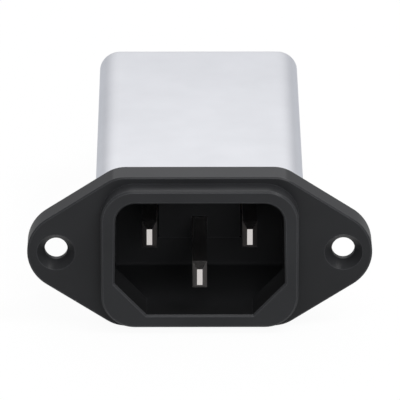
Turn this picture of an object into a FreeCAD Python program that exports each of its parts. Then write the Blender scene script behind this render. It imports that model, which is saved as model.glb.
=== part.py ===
import FreeCAD, Part
import math
import os
import re

import Sketcher

# A filtered appliance inlet of the C14 pattern, for mounting in a panel with two countersunk screws.
#
# Frame: the origin is the centre of the flange's back face, which lies on the panel. +Y points back
# into the equipment, +Z is up and +X is to the right as seen from the front. Millimetres and degrees.

SIZES = (
    ("cavity_width", 23.8, "socket, inside at its mouth"),
    ("cavity_height", 16.7, "socket, inside at its mouth"),
    ("cavity_depth", 18.0, "socket, from the collar's front to its base"),
    ("cavity_corner", 2.8, "upper inner corners of the socket"),
    ("cavity_draft", 1.0, "taper of the socket's walls"),
    ("bevel_width", 4.5, "lower corner bevels, across"),
    ("bevel_height", 4.8, "lower corner bevels, upwards"),
    ("bevel_length", 6.0, "lower corner bevels, front to back"),
    ("mouth_chamfer", 0.25, "chamfer on the mouth's inner edge"),
    ("floor_fillet", 0.45, "socket's floor to its base"),
    ("collar_side_wall", 1.8, "collar beside the socket"),
    ("collar_top_wall", 1.9, "collar above and below the socket"),
    ("collar_stand", 2.8, "how far the collar stands out of the flange"),
    ("collar_corner", 4.65, "corner round of the collar"),
    ("collar_edge", 0.25, "broken outer edge of the collar's front"),
    ("flange_thickness", 3.9, "flange, front to back"),
    ("flange_margin", 0.98, "flange above and below the collar"),
    ("flange_edge", 0.2, "broken edge of the flange's front rim"),
    ("ear_radius", 5.85, "nose of each ear"),
    ("flank_margin", 1.5, "flange beyond the collar's corners, square to the flanks"),
    ("flank_round", 4.75, "round between a flank and the flat top or bottom"),
    ("ear_floor", 2.3, "web left in front of each cored-out ear"),
    ("ear_rim", 1.25, "rim wall round each cored-out ear"),
    ("ear_rib", 1.0, "wall between the can and the coring"),
    ("core_corner", 0.8, "round in the inner corners of the coring"),
    ("boss_width", 6.0, "open boss round each screw, down to the panel"),
    ("boss_gap", 0.1, "boss opening beyond the screw's hole, each side"),
    ("screw_pitch", 40.0, "distance between the two screws"),
    ("ear_reach", 4.0, "end of each ear from its screw"),
    ("screw_bore", 3.2, "clearance hole of the screws"),
    ("sink_width", 5.3, "mouth of the countersinks"),
    ("sink_angle", 71.0, "included angle of the countersinks"),
    ("base_wall", 2.0, "wall behind the socket that holds the pins"),
    ("base_pad_rise", 0.7, "raised pad between the live pins on the base"),
    ("base_pad_drop", 3.9, "lower edge of that pad, under the centre"),
    ("base_pad_gap", 0.3, "groove round the pad, across"),
    ("base_pad_groove", 0.6, "groove round the pad, into the base"),
    ("pin_pitch", 14.0, "line pin to neutral pin"),
    ("pin_width", 2.0, "pins, across"),
    ("pin_height", 4.0, "pins, upwards"),
    ("live_rise", 1.35, "live pins above the centre"),
    ("earth_drop", 2.65, "earth pin under the centre"),
    ("live_recess", 5.0, "live pin tips behind the collar's front"),
    ("earth_recess", 0.2, "earth pin tip behind the collar's front"),
    ("tip_width", 0.75, "flat on the pin tips, across"),
    ("tip_height", 2.35, "flat on the pin tips, upwards"),
    ("tip_length", 1.1, "length of the tapered tips"),
    ("tail_thickness", 0.8, "pin tails, across"),
    ("tail_height", 2.0, "pin tails, upwards"),
    ("tail_reach", 3.4, "pin tails behind the base wall"),
    ("leg_width", 1.5, "legs that go down through the board"),
    ("lead_proud", 0.9, "legs and leads under the board"),
    ("fit_gap", 0.05, "clearance of parts that fit closely"),
    ("spigot_side_wall", 1.98, "spigot beside the socket"),
    ("spigot_top_wall", 1.33, "spigot above and below the socket"),
    ("can_depth", 47.6, "filter can, behind the panel's front"),
    ("can_seat", 0.3, "groove in the flange's back for the can's edge"),
    ("can_wall", 0.5, "sheet of the can"),
    ("can_corner", 3.0, "long edges of the can, outside"),
    ("can_back_edge", 0.45, "bevelled edge round the can's back"),
    ("can_gap", 0.12, "can over spigot, each side"),
    ("latch_setback", 3.0, "latches behind the flange"),
    ("latch_length", 3.2, "latches, front to back"),
    ("latch_crest", 0.8, "flat crest of the latches"),
    ("latch_height", 5.0, "latches, upwards"),
    ("latch_gap", 0.2, "window round each latch"),
    ("shelf_inset", 7.5, "inner side of the board shelves, from the centre"),
    ("shelf_width", 4.0, "board shelves, across"),
    ("shelf_length", 2.6, "board shelves behind the base wall"),
    ("shelf_thickness", 1.2, "board shelves, upwards"),
    ("strap_thickness", 0.4, "earth strap"),
    ("strap_width", 5.0, "earth strap, across"),
    ("strap_foot", 4.0, "foot of the strap on the can's floor"),
    ("strap_margin", 1.0, "strap above the earth tail"),
    ("liner_film", 0.25, "insulating film"),
    ("liner_gap", 0.6, "liner behind the strap and in front of the can's back"),
    ("board_clear", 2.8, "board above the can's floor"),
    ("board_thickness", 1.6, "board"),
    ("board_side_gap", 0.3, "board to liner, each side"),
    ("board_end_gap", 2.0, "board to the can's back"),
    ("part_gap", 1.0, "row spacing of the parts on the board"),
    ("side_gap", 1.4, "discs and resistor from the liner's sides"),
    ("lead_gap", 0.15, "hole round each lead in the board"),
    ("box_width", 13.0, "box capacitor, across"),
    ("box_thickness", 5.0, "box capacitor, front to back"),
    ("box_height", 11.0, "box capacitor, upwards"),
    ("box_chamfer", 0.4, "edges of the box capacitor"),
    ("box_lead_pitch", 10.0, "leads of the box capacitor"),
    ("box_lead", 0.8, "lead wire of the box capacitor"),
    ("core_outer", 13.0, "choke ring, outside diameter"),
    ("core_inner", 7.0, "choke ring, bore"),
    ("core_height", 6.0, "choke ring, upwards"),
    ("wire_thickness", 0.9, "choke wire"),
    ("winding_sweep", 135.0, "angle covered by each winding"),
    ("winding_turns", 10, "turns of each winding"),
    ("divider_thickness", 0.8, "card between the windings"),
    ("disc_diameter", 7.0, "disc capacitors"),
    ("disc_thickness", 3.0, "disc capacitors, across"),
    ("disc_chamfer", 0.9, "dipped edge of the disc capacitors"),
    ("disc_lead_pitch", 5.0, "leads of the disc capacitors"),
    ("disc_lead", 0.6, "lead wire of the disc capacitors"),
    ("resistor_length", 6.3, "bleed resistor's barrel"),
    ("resistor_diameter", 2.4, "bleed resistor's end caps"),
    ("resistor_waist", 2.0, "bleed resistor's barrel between the caps"),
    ("resistor_cap", 1.4, "length of the end caps"),
    ("resistor_lead_pitch", 9.0, "leads of the bleed resistor"),
    ("resistor_lead", 0.6, "lead wire of the bleed resistor"),
    ("tab_width", 6.3, "push-on tabs"),
    ("tab_thickness", 0.8, "push-on tabs"),
    ("tab_length", 8.0, "push-on tabs, free length"),
    ("tab_tip", 1.0, "chamfer at the tabs' tips"),
    ("tab_eye", 1.65, "locking hole in the tabs"),
    ("tab_eye_setback", 3.6, "locking hole from the tip"),
    ("tab_rise", 1.5, "live tabs above the centre"),
    ("tab_shoulder", 0.6, "shoulder inside the bush"),
    ("tab_root", 2.2, "shoulder, front to back"),
    ("bush_wall", 1.1, "bush round a live tab"),
    ("bush_flange", 0.8, "bush flange beyond its neck"),
    ("bush_stand", 1.5, "bush flange behind the can"),
    ("bush_lip", 1.0, "bush neck inside the can"),
    ("bush_barb", 0.25, "snap ridge of the bush"),
    ("foot_margin", 1.0, "earth tab's foot above the can's bottom"),
    ("bend_round", 0.6, "inner bend of sheet-metal parts"),
    ("rivet_shank", 3.0, "earth rivet"),
    ("rivet_bore", 1.8, "hollow of the earth rivet"),
    ("rivet_head", 4.4, "head of the earth rivet"),
    ("rivet_head_height", 0.8, "head of the earth rivet"),
    ("rivet_roll", 4.0, "rolled end of the earth rivet"),
    ("rivet_margin", 0.2, "rivet head to the tab's bend and to the foot's edge"),
)

# Lengths that several pieces share, as expressions over the sizes.
COLLAR_WIDTH = "(cavity_width + 2 * collar_side_wall)"
COLLAR_HEIGHT = "(cavity_height + 2 * collar_top_wall)"
COLLAR_FRONT = "(flange_thickness + collar_stand)"
FLANGE_HEIGHT = f"({COLLAR_HEIGHT} + 2 * flange_margin)"
EAR_CENTRE = "(screw_pitch / 2 + ear_reach - ear_radius)"
CORNER_ACROSS = f"({COLLAR_WIDTH} / 2 - collar_corner)"
CORNER_UP = f"({COLLAR_HEIGHT} / 2 - collar_corner)"
# Each flank touches the circle of its ear and, at flank_margin, that of the collar's corner.
FLANK_ANGLE = (f"(atan({CORNER_UP} / ({EAR_CENTRE} - {CORNER_ACROSS}))"
               f" + asin((collar_corner + flank_margin - ear_radius)"
               f" / hypot({CORNER_UP}, {EAR_CENTRE} - {CORNER_ACROSS})))")
SPIGOT_WIDTH = "(cavity_width + 2 * spigot_side_wall)"
SPIGOT_HEIGHT = "(cavity_height + 2 * spigot_top_wall)"
SPIGOT_END = f"(cavity_depth + base_wall - {COLLAR_FRONT})"
CAN_INNER_WIDTH = f"({SPIGOT_WIDTH} + 2 * can_gap)"
CAN_INNER_HEIGHT = f"({SPIGOT_HEIGHT} + 2 * can_gap)"
CAN_WIDTH = f"({CAN_INNER_WIDTH} + 2 * can_wall)"
CAN_HEIGHT = f"({CAN_INNER_HEIGHT} + 2 * can_wall)"
CAN_BACK_INSIDE = "(can_depth - can_wall)"
CAN_FLOOR = f"(-{CAN_INNER_HEIGHT} / 2)"
LINER_WIDTH = f"({CAN_INNER_WIDTH} - 2 * fit_gap)"
LINER_HEIGHT = f"({CAN_INNER_HEIGHT} - 2 * fit_gap)"
LINER_INNER_WIDTH = f"({LINER_WIDTH} - 2 * liner_film)"
BOARD_UNDER = f"({CAN_FLOOR} + board_clear)"
BOARD_TOP = f"({BOARD_UNDER} + board_thickness)"
LEAD_END = f"({BOARD_UNDER} - lead_proud)"
BOARD_FRONT = f"({SPIGOT_END} + strap_thickness + board_side_gap)"
LEG_PLACE = f"({SPIGOT_END} + tail_reach - leg_width / 2)"
BOX_PLACE = f"({SPIGOT_END} + tail_reach + part_gap + box_thickness / 2)"
WINDING_RADIUS = "(core_outer / 2 + fit_gap + wire_thickness)"
WINDING_LEAD_RADIUS = "(core_outer / 2 + fit_gap + wire_thickness / 2)"
WINDING_REACH = "(core_height / 2 + fit_gap + wire_thickness)"
CHOKE_PLACE = f"({BOX_PLACE} + box_thickness / 2 + part_gap + {WINDING_RADIUS})"
CHOKE_HEIGHT = f"({BOARD_TOP} + {WINDING_REACH})"
BUSH_INNER_END = f"({CAN_BACK_INSIDE} - bush_lip)"
TAB_LEG_BACK = f"({BUSH_INNER_END} - tab_root)"
TAB_LEG_PLACE = f"({TAB_LEG_BACK} - leg_width / 2)"
TAB_TIP = "(can_depth + bush_stand + tab_length)"
DISC_PLACE = f"({TAB_LEG_BACK} - leg_width - disc_diameter / 2)"
DISC_OFFSET = f"({LINER_INNER_WIDTH} / 2 - side_gap - disc_thickness / 2)"
RESISTOR_PLACE = f"({SPIGOT_END} + shelf_length + part_gap + resistor_lead_pitch / 2)"
RESISTOR_OFFSET = f"({LINER_INNER_WIDTH} / 2 - side_gap - resistor_diameter / 2)"
RIVET_DROP = "(tab_thickness + bend_round + rivet_head / 2 + rivet_margin)"
EARTH_FOOT = f"({RIVET_DROP} + rivet_head / 2 + rivet_margin)"
EARTH_TAB_TOP = f"({EARTH_FOOT} + foot_margin - {CAN_HEIGHT} / 2)"

# Sketch planes of a body, and what a positive offset from each means.
FRONT = "XZ_Plane"  # sketch across is X, up is Z, offset and pads run forwards, along -Y
SIDE = "YZ_Plane"  # sketch across is Y, up is Z, offset and pads run along +X
TOP = "XY_Plane"  # sketch across is X, up is Y, offset and pads run up, along +Z

START, END, CENTRE = range(1, 4)  # how a sketch numbers the points of a curve
SKETCH_ORIGIN = (-1, START)
NEAR = 1e-4
SIDES = ("-", "")  # the sign of X on the left and on the right

doc = FreeCAD.newDocument("c14_filter_inlet")
sheet = doc.addObject("Spreadsheet::Sheet", "Sizes")
for row, (alias, number, note) in enumerate(SIZES, 1):
    sheet.set(f"A{row}", note)
    sheet.set(f"B{row}", str(number))
    sheet.setAlias(f"B{row}", alias)
doc.recompute()

parts = []


def size(alias):
    """The number that the sheet holds for one size."""
    return float(sheet.get(alias))


def bind(thing, name, expression):
    """Ties a property to an expression over the sizes; each size's name has an underscore."""
    thing.setExpression(name, re.sub(r"\b([a-z]+(?:_[a-z]+)+)\b", r"Sizes.\1", expression))


# ---------------------------------------------------------------- sketches


def new_body(label, across="0", back="0", up="0"):
    """An empty body with its label and its place in the frame."""
    body = doc.addObject("PartDesign::Body", label)
    body.Label = label
    bind(body, "Placement.Base.x", across)
    bind(body, "Placement.Base.y", back)
    bind(body, "Placement.Base.z", up)
    parts.append(body)
    return body


def new_sketch(body, name, role, offset="0"):
    """An empty sketch on one of the body's own planes, moved along the plane's normal."""
    plane = next(item for item in body.Origin.OriginFeatures if item.Role == role)
    sketch = body.newObject("Sketcher::SketchObject", name)
    sketch.AttachmentSupport = (plane, [""])
    sketch.MapMode = "FlatFace"
    bind(sketch, "AttachmentOffset.Base.z", offset)
    return sketch


def fix_point(sketch, curve, point, across, up):
    """Holds one point of a sketch at a place given by two expressions."""
    for kind, expression in (("DistanceX", across), ("DistanceY", up)):
        here = sketch.getPoint(curve, point)
        now = here.x if kind == "DistanceX" else here.y
        index = sketch.addConstraint(Sketcher.Constraint(kind, *SKETCH_ORIGIN, curve, point, now))
        bind(sketch, f"Constraints[{index}]", expression)


def on_circle(turn):
    """A point of the unit circle, from which the solver sets out."""
    return FreeCAD.Vector(math.cos(turn), math.sin(turn), 0)


def draw_lines(sketch, corners, closed=True):
    """Straight lines through corners, each corner a pair of expressions."""
    count = len(corners)
    first = sketch.GeometryCount
    seeds = [on_circle(2 * math.pi * index / count) for index in range(count)]
    lines = count if closed else count - 1
    for index in range(lines):
        sketch.addGeometry(Part.LineSegment(seeds[index], seeds[(index + 1) % count]), False)
    for index in range(lines if closed else lines - 1):
        following = first + (index + 1) % count
        sketch.addConstraint(
            Sketcher.Constraint("Coincident", first + index, END, following, START))
    for index in range(lines):
        fix_point(sketch, first + index, START, *corners[index])
    if not closed:
        fix_point(sketch, first + lines - 1, END, *corners[-1])


def draw_box(sketch, width, height, across="0", up="0"):
    """A rectangle round a centre."""
    left, right = f"{across} - ({width}) / 2", f"{across} + ({width}) / 2"
    low, high = f"{up} - ({height}) / 2", f"{up} + ({height}) / 2"
    draw_lines(sketch, ((left, low), (right, low), (right, high), (left, high)))


def draw_arc(sketch, across, middle, ends):
    """An arc from one line's end to another's, its centre at one place across."""
    circle = Part.Circle(FreeCAD.Vector(0, 0, 0), FreeCAD.Vector(0, 0, 1), 1)
    seed = Part.ArcOfCircle(circle, middle - math.pi / 8, middle + math.pi / 8)
    arc = sketch.addGeometry(seed, False)
    for point, end in zip((START, END), ends):
        sketch.addConstraint(Sketcher.Constraint("Coincident", arc, point, *end))
    rule = sketch.addConstraint(
        Sketcher.Constraint("DistanceX", *SKETCH_ORIGIN, arc, CENTRE, 0))
    bind(sketch, f"Constraints[{rule}]", across)


def draw_round_box(sketch, width, height, radius):
    """A rectangle round the origin with round corners."""
    side, top = f"(({width}) / 2)", f"(({height}) / 2)"
    across, up = f"({side} - ({radius}))", f"({top} - ({radius}))"
    sides = (
        ((f"-{across}", f"-{top}"), (across, f"-{top}")),
        ((side, f"-{up}"), (side, up)),
        ((across, top), (f"-{across}", top)),
        ((f"-{side}", up), (f"-{side}", f"-{up}")))
    lines = []
    for index, (start, end) in enumerate(sides):
        middle = math.pi * (index - 1) / 2
        seeds = on_circle(middle - math.pi / 8), on_circle(middle + math.pi / 8)
        lines.append(sketch.addGeometry(Part.LineSegment(*seeds), False))
        fix_point(sketch, lines[-1], START, *start)
        fix_point(sketch, lines[-1], END, *end)
    for index, sign in enumerate(("", "", "-", "-")):
        ends = [(lines[index], END), (lines[(index + 1) % 4], START)]
        draw_arc(sketch, f"{sign}{across}", math.pi * (index / 2 - 1 / 4), ends)


def draw_circle(sketch, diameter, across="0", up="0"):
    """A circle round a centre."""
    circle = Part.Circle(FreeCAD.Vector(0, 0, 0), FreeCAD.Vector(0, 0, 1), 1)
    index = sketch.addGeometry(circle, False)
    rule = sketch.addConstraint(Sketcher.Constraint("Radius", index, 1))
    bind(sketch, f"Constraints[{rule}]", f"({diameter}) / 2")
    fix_point(sketch, index, CENTRE, across, up)


# ---------------------------------------------------------------- features


def settle(body, feature):
    """Works the document out anew and stops if a feature has failed."""
    doc.recompute()
    if not feature.isValid() or feature.Shape.isNull():
        raise RuntimeError(f"{body.Label}: {feature.Name} failed")


def add(body, sketch, length, kind="Pad", backwards=False, symmetric=False, draft="0"):
    """A pad or pocket from a sketch; a pocket has to take something away."""
    doc.recompute()
    before = 0 if body.Shape.isNull() else body.Shape.Volume
    feature = body.newObject(f"PartDesign::{kind}", f"{sketch.Name}_{kind.lower()}")
    feature.Profile = sketch
    feature.Reversed = backwards
    if symmetric:
        feature.SideType = "Symmetric"
    if length:
        bind(feature, "Length", length)
    else:
        feature.Type = "ThroughAll"
    bind(feature, "TaperAngle", draft)
    settle(body, feature)
    gained = feature.Shape.Volume - before
    if gained * (1 if kind == "Pad" else -1) <= 0:
        raise RuntimeError(f"{body.Label}: {feature.Name} changes nothing")
    return feature


def cut(body, sketch, length, **options):
    """A pocket; with no length it goes through all."""
    return add(body, sketch, length, kind="Pocket", **options)


def dress(body, name, radius, chosen, kind="Fillet"):
    """Rounds or chamfers the edges of the body's last feature that a test picks."""
    doc.recompute()
    base = body.Tip
    edges = [f"Edge{index}" for index, edge in enumerate(base.Shape.Edges, 1) if chosen(edge)]
    if not edges:
        raise RuntimeError(f"{body.Label}: no edge for {name}")
    feature = body.newObject(f"PartDesign::{kind}", name)
    feature.Base = (base, edges)
    bind(feature, "Radius" if kind == "Fillet" else "Size", radius)
    settle(body, feature)


def hollow_out(body, wall, chosen):
    """Shells a body inwards and leaves it open at the faces that a test picks."""
    base = body.Tip
    shell = body.newObject("PartDesign::Thickness", f"{body.Name}_shell")
    shell.Base = (base, faces_of(base.Shape, chosen))
    shell.Reversed = True
    bind(shell, "Value", wall)
    settle(body, shell)


def span(edge, axis):
    """The lowest and highest coordinate of an edge along X, Y or Z."""
    box = edge.BoundBox
    return getattr(box, f"{axis}Min"), getattr(box, f"{axis}Max")


def extent(edge, axis):
    """The length of an edge as measured along an axis."""
    low, high = span(edge, axis)
    return high - low


def runs_along(edge, axis):
    """Whether an edge is a straight one parallel to an axis."""
    return all(extent(edge, other) < NEAR for other in "XYZ" if other != axis)


def lies_at(edge, axis, place):
    """Whether an edge lies in the plane at one coordinate of an axis."""
    low, high = span(edge, axis)
    return abs(low - place) < NEAR and abs(high - place) < NEAR


def reaches(edge, axis):
    """How far an edge gets from the centre along an axis."""
    return max(abs(limit) for limit in span(edge, axis))


# ---------------------------------------------------------------- inlet moulding


def add_collar(body):
    """The collar round the socket, from the panel's plane to its own front."""
    outline = new_sketch(body, "collar_outline", FRONT)
    draw_box(outline, COLLAR_WIDTH, COLLAR_HEIGHT)
    collar = add(body, outline, COLLAR_FRONT)
    front = collar.Shape.BoundBox.YMin
    dress(body, "collar_corners", "collar_corner", lambda edge: runs_along(edge, "Y"))
    dress(body, "collar_front_edge", "collar_edge", kind="Chamfer",
          chosen=lambda edge: lies_at(edge, "Y", front))
    return collar.Shape.BoundBox


def add_flange(body, collar):
    """The flange round the collar: a hexagon whose side corners are rounded into ears."""
    half = f"{FLANGE_HEIGHT} / 2"
    apex = f"({EAR_CENTRE} + ear_radius / sin({FLANK_ANGLE}))"
    corner = f"({apex} - {half} / tan({FLANK_ANGLE}))"
    outline = new_sketch(body, "flange_outline", FRONT)
    draw_lines(outline, (
        (f"-{apex}", "0"), (f"-{corner}", f"-{half}"), (corner, f"-{half}"),
        (apex, "0"), (corner, half), (f"-{corner}", half)))
    flange = add(body, outline, "flange_thickness").Shape.BoundBox
    front = -size("flange_thickness")
    dress(body, "ear_noses", "ear_radius",
          lambda edge: runs_along(edge, "Y") and reaches(edge, "Z") < NEAR)
    dress(body, "flank_rounds", "flank_round",
          lambda edge: runs_along(edge, "Y") and reaches(edge, "Z") > flange.ZMax - NEAR)

    def borders_collar(edge):
        return (lies_at(edge, "Y", front) and reaches(edge, "X") < collar.XMax + NEAR
                and reaches(edge, "Z") < collar.ZMax + NEAR)

    dress(body, "flange_rim", "flange_edge", kind="Chamfer",
          chosen=lambda edge: lies_at(edge, "Y", front) and not borders_collar(edge))


def add_spigot(body):
    """The block behind the flange that holds the socket's base and carries the can."""
    groove = new_sketch(body, "can_groove_outline", FRONT)
    draw_round_box(groove, f"{CAN_WIDTH} + 2 * can_gap", f"{CAN_HEIGHT} + 2 * can_gap",
                   "can_corner + can_gap")
    cut(body, groove, "can_seat", backwards=True)
    outline = new_sketch(body, "spigot_outline", FRONT, "can_seat")
    draw_round_box(outline, SPIGOT_WIDTH, SPIGOT_HEIGHT, "can_corner - can_wall - can_gap")
    add(body, outline, f"{SPIGOT_END} + can_seat", backwards=True)


def faces_of(shape, chosen):
    """The names of the faces that a test picks."""
    return [f"Face{index}" for index, face in enumerate(shape.Faces, 1) if chosen(face)]


def add_draft(body, name, angle, chosen, neutral):
    """Leans the faces that one test picks about the plane of the face that another picks."""
    base = body.Tip
    draft = body.newObject("PartDesign::Draft", name)
    draft.Base = (base, faces_of(base.Shape, chosen))
    draft.NeutralPlane = (base, faces_of(base.Shape, neutral)[:1])
    draft.Reversed = True
    bind(draft, "Angle", angle)
    settle(body, draft)


def add_bevel_webs(body):
    """Webs across the socket's two lower corners, which let a plug in only one way up."""
    half, floor = "cavity_width / 2", "-cavity_height / 2"
    inner, top = f"({half} - bevel_width)", f"({floor} + bevel_height)"
    root, under = f"({half} + mouth_chamfer)", f"({floor} - mouth_chamfer)"
    webs = new_sketch(body, "bevel_webs", FRONT, COLLAR_FRONT)
    for sign in SIDES:
        draw_lines(webs, (
            (f"{sign}{half}", top), (f"{sign}{inner}", floor), (f"{sign}{inner}", under),
            (f"{sign}{root}", under), (f"{sign}{root}", top)))
    add(body, webs, "bevel_length", backwards=True)


def cut_socket(body):
    """The socket: round upper corners, bevelled lower ones, and walls with a little draft."""
    mouth = new_sketch(body, "socket_mouth", FRONT, COLLAR_FRONT)
    draw_box(mouth, "cavity_width", "cavity_height")
    cut(body, mouth, "cavity_depth")
    depth, width, height = size("cavity_depth"), size("cavity_width"), size("cavity_height")

    def lines_socket(shape):
        return (abs(extent(shape, "Y") - depth) < NEAR and reaches(shape, "X") < width / 2 + NEAR
                and reaches(shape, "Z") < height / 2 + NEAR)

    front = body.Shape.BoundBox.YMin
    add_draft(body, "socket_draft", "cavity_draft", lines_socket,
              neutral=lambda face: lies_at(face, "Y", front))
    dress(body, "socket_corners", "cavity_corner",
          lambda edge: lines_socket(edge) and span(edge, "Z")[0] > height / 4)
    dress(body, "socket_floor_fillet", "floor_fillet",
          lambda edge: lies_at(edge, "Y", front + depth) and runs_along(edge, "X")
          and span(edge, "Z")[0] < 0)
    add_bevel_webs(body)
    dress(body, "socket_mouth_edge", "mouth_chamfer",
          lambda edge: lies_at(edge, "Y", front) and reaches(edge, "X") < width / 2 + NEAR
          and reaches(edge, "Z") < height / 2 + NEAR, kind="Chamfer")


def add_base_pad(body):
    """The low pad between the live pins on the socket's base, with a groove round it."""
    width, floor = "(pin_pitch - pin_width)", f"({COLLAR_FRONT} - cavity_depth)"
    height, top = "(cavity_height / 2 + base_pad_drop)", "cavity_height / 2"
    recess = new_sketch(body, "base_pad_recess", FRONT, floor)
    draw_box(recess, width, f"{height} + base_pad_gap",
             up=f"({top} - ({height} + base_pad_gap) / 2)")
    cut(body, recess, "base_pad_groove")
    outline = new_sketch(body, "base_pad_outline", FRONT, f"{floor} - base_pad_groove")
    draw_box(outline, f"{width} - 2 * base_pad_gap", height, up=f"({top} - {height} / 2)")
    add(body, outline, "base_pad_groove + base_pad_rise")


def cut_pin_slots(body):
    """Slots through the base wall, one for each pin."""
    slots = new_sketch(body, "pin_slots", FRONT, COLLAR_FRONT)
    for across, up in PIN_PLACES.values():
        draw_box(slots, "pin_width + 2 * fit_gap", "pin_height + 2 * fit_gap", across, up)
    cut(body, slots, "")


def draw_ear_core(sketch, sign):
    """One ear's coring: a straight inner side and two flanks that run into a round nose."""
    radius = "(ear_radius - ear_rim)"
    inner = f"({CAN_WIDTH} / 2 + can_gap + ear_rib)"
    height = f"(({EAR_CENTRE} + {radius} / sin({FLANK_ANGLE}) - {inner}) * tan({FLANK_ANGLE}))"
    nose = f"({EAR_CENTRE} + {radius} * sin({FLANK_ANGLE}))"
    nose_height = f"({radius} * cos({FLANK_ANGLE}))"
    first = sketch.GeometryCount
    draw_lines(sketch, (
        (f"{sign}{nose}", nose_height), (f"{sign}{inner}", height),
        (f"{sign}{inner}", f"-{height}"), (f"{sign}{nose}", f"-{nose_height}")), closed=False)
    ends = [(first, START), (first + 2, END)]
    if sign == "-":
        draw_arc(sketch, f"-{EAR_CENTRE}", math.pi, ends)
    else:
        draw_arc(sketch, EAR_CENTRE, 0, ends[::-1])


def core_ears(body):
    """Coring of both ears from the back, with an even rim and a boss round each screw."""
    outline = new_sketch(body, "ear_cores", FRONT)
    for sign in SIDES:
        draw_ear_core(outline, sign)
    cut(body, outline, "flange_thickness - ear_floor", backwards=True)
    depth = size("flange_thickness") - size("ear_floor")
    dress(body, "ear_core_corners", "core_corner",
          lambda edge: runs_along(edge, "Y") and abs(extent(edge, "Y") - depth) < NEAR
          and reaches(edge, "Z") > size("ear_radius"))
    bosses = new_sketch(body, "screw_bosses", FRONT)
    openings = new_sketch(body, "boss_openings", FRONT)
    for sign in SIDES:
        middle = f"{sign}screw_pitch / 2"
        draw_circle(bosses, "boss_width", across=middle)
        draw_box(openings, "screw_bore + 2 * boss_gap", "boss_width / 2 + boss_gap", middle,
                 "-(boss_width / 2 + boss_gap) / 2")
    add(body, bosses, "flange_thickness - ear_floor")
    cut(body, openings, "flange_thickness - ear_floor", backwards=True)


def drill_screw_holes(body):
    """Countersunk clearance holes, one in each ear."""
    marks = new_sketch(body, "screw_marks", FRONT, "flange_thickness")
    for sign in SIDES:
        draw_circle(marks, "screw_bore", across=f"{sign}screw_pitch / 2")
    doc.recompute()
    before = body.Shape.Volume
    hole = body.newObject("PartDesign::Hole", "screw_holes")
    hole.Profile = marks
    doc.recompute()
    hole.ThreadType = "None"
    hole.DepthType = "ThroughAll"
    bind(hole, "Diameter", "screw_bore")
    hole.HoleCutType = "Countersink"
    hole.HoleCutCustomValues = True
    bind(hole, "HoleCutDiameter", "sink_width")
    bind(hole, "HoleCutCountersinkAngle", "sink_angle")
    doc.recompute()
    if hole.Shape.Volume >= before:
        raise RuntimeError("the screw holes change nothing")


def add_latches(body):
    """A ramped latch on each side of the spigot, flush with the can's outside."""
    root = f"({SPIGOT_WIDTH} / 2 - can_wall)"
    face = f"({SPIGOT_WIDTH} / 2)"
    crest = f"({CAN_WIDTH} / 2)"
    back = "latch_setback + latch_length"
    outline = new_sketch(body, "latch_outlines", TOP)
    for sign in SIDES:
        draw_lines(outline, (
            (f"{sign}{root}", "latch_setback"), (f"{sign}{crest}", "latch_setback"),
            (f"{sign}{crest}", "latch_setback + latch_crest"), (f"{sign}{face}", back),
            (f"{sign}{root}", back)))
    add(body, outline, "latch_height", symmetric=True)


def add_shelves(body):
    """Two shelves behind the base wall that the circuit board's front edge rests on."""
    outline = new_sketch(body, "shelf_outlines", FRONT, f"-{SPIGOT_END}")
    for sign in SIDES:
        draw_box(outline, "shelf_width", "shelf_thickness",
                 f"{sign}(shelf_inset + shelf_width / 2)", f"{BOARD_UNDER} - shelf_thickness / 2")
    add(body, outline, "shelf_length", backwards=True)


def make_inlet_moulding():
    """Flange, collar, socket and spigot, moulded in one piece."""
    body = new_body("inlet_moulding")
    add_flange(body, add_collar(body))
    add_spigot(body)
    cut_socket(body)
    add_base_pad(body)
    cut_pin_slots(body)
    core_ears(body)
    drill_screw_holes(body)
    add_latches(body)
    add_shelves(body)


# ---------------------------------------------------------------- pins and earth strap

PIN_PLACES = {
    "line_pin": ("-pin_pitch / 2", "live_rise"),
    "neutral_pin": ("pin_pitch / 2", "live_rise"),
    "earth_pin": ("0", "-earth_drop"),
}


def make_pin(label, recess):
    """A blade with a tapered tip, and a thin tail that turns down through the board."""
    across, up = PIN_PLACES[label]
    body = new_body(label, across, f"{recess} - {COLLAR_FRONT}", up)
    end = f"(cavity_depth + base_wall - {recess})"
    blade = new_sketch(body, f"{label}_section", FRONT, "-tip_length")
    draw_box(blade, "pin_width", "pin_height")
    add(body, blade, f"{end} - tip_length", backwards=True)
    tip = new_sketch(body, f"{label}_tip", FRONT)
    draw_box(tip, "tip_width", "tip_height")
    taper = body.newObject("PartDesign::AdditiveLoft", f"{label}_taper")
    taper.Profile = tip
    taper.Sections = [blade]
    taper.Ruled = True
    back = f"{end} + tail_reach"
    low = f"{LEAD_END} - ({up})"
    half = "tail_height / 2"
    tail = new_sketch(body, f"{label}_tail", SIDE)
    draw_lines(tail, (
        (f"{end} - base_wall / 2", half), (back, half), (back, low), (f"{back} - leg_width", low),
        (f"{back} - leg_width", f"-{half}"), (f"{end} - base_wall / 2", f"-{half}")))
    add(body, tail, "tail_thickness", symmetric=True)


def make_earth_strap():
    """A bent strip from the earth pin's tail to the can's floor."""
    body = new_body("earth_strap", back=SPIGOT_END)
    top = "(tail_height / 2 + strap_margin - earth_drop)"
    outline = new_sketch(body, "strap_profile", SIDE)
    draw_lines(outline, (
        ("0", top), ("strap_thickness", top), ("strap_thickness", f"{CAN_FLOOR} + strap_thickness"),
        ("strap_thickness + strap_foot", f"{CAN_FLOOR} + strap_thickness"),
        ("strap_thickness + strap_foot", CAN_FLOOR), ("0", CAN_FLOOR)))
    add(body, outline, "strap_width", symmetric=True)
    slot = new_sketch(body, "strap_slot", FRONT)
    draw_box(slot, "tail_thickness + 2 * fit_gap", "tail_height + 2 * fit_gap", up="-earth_drop")
    cut(body, slot, "strap_thickness")


# ---------------------------------------------------------------- can and liner


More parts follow.
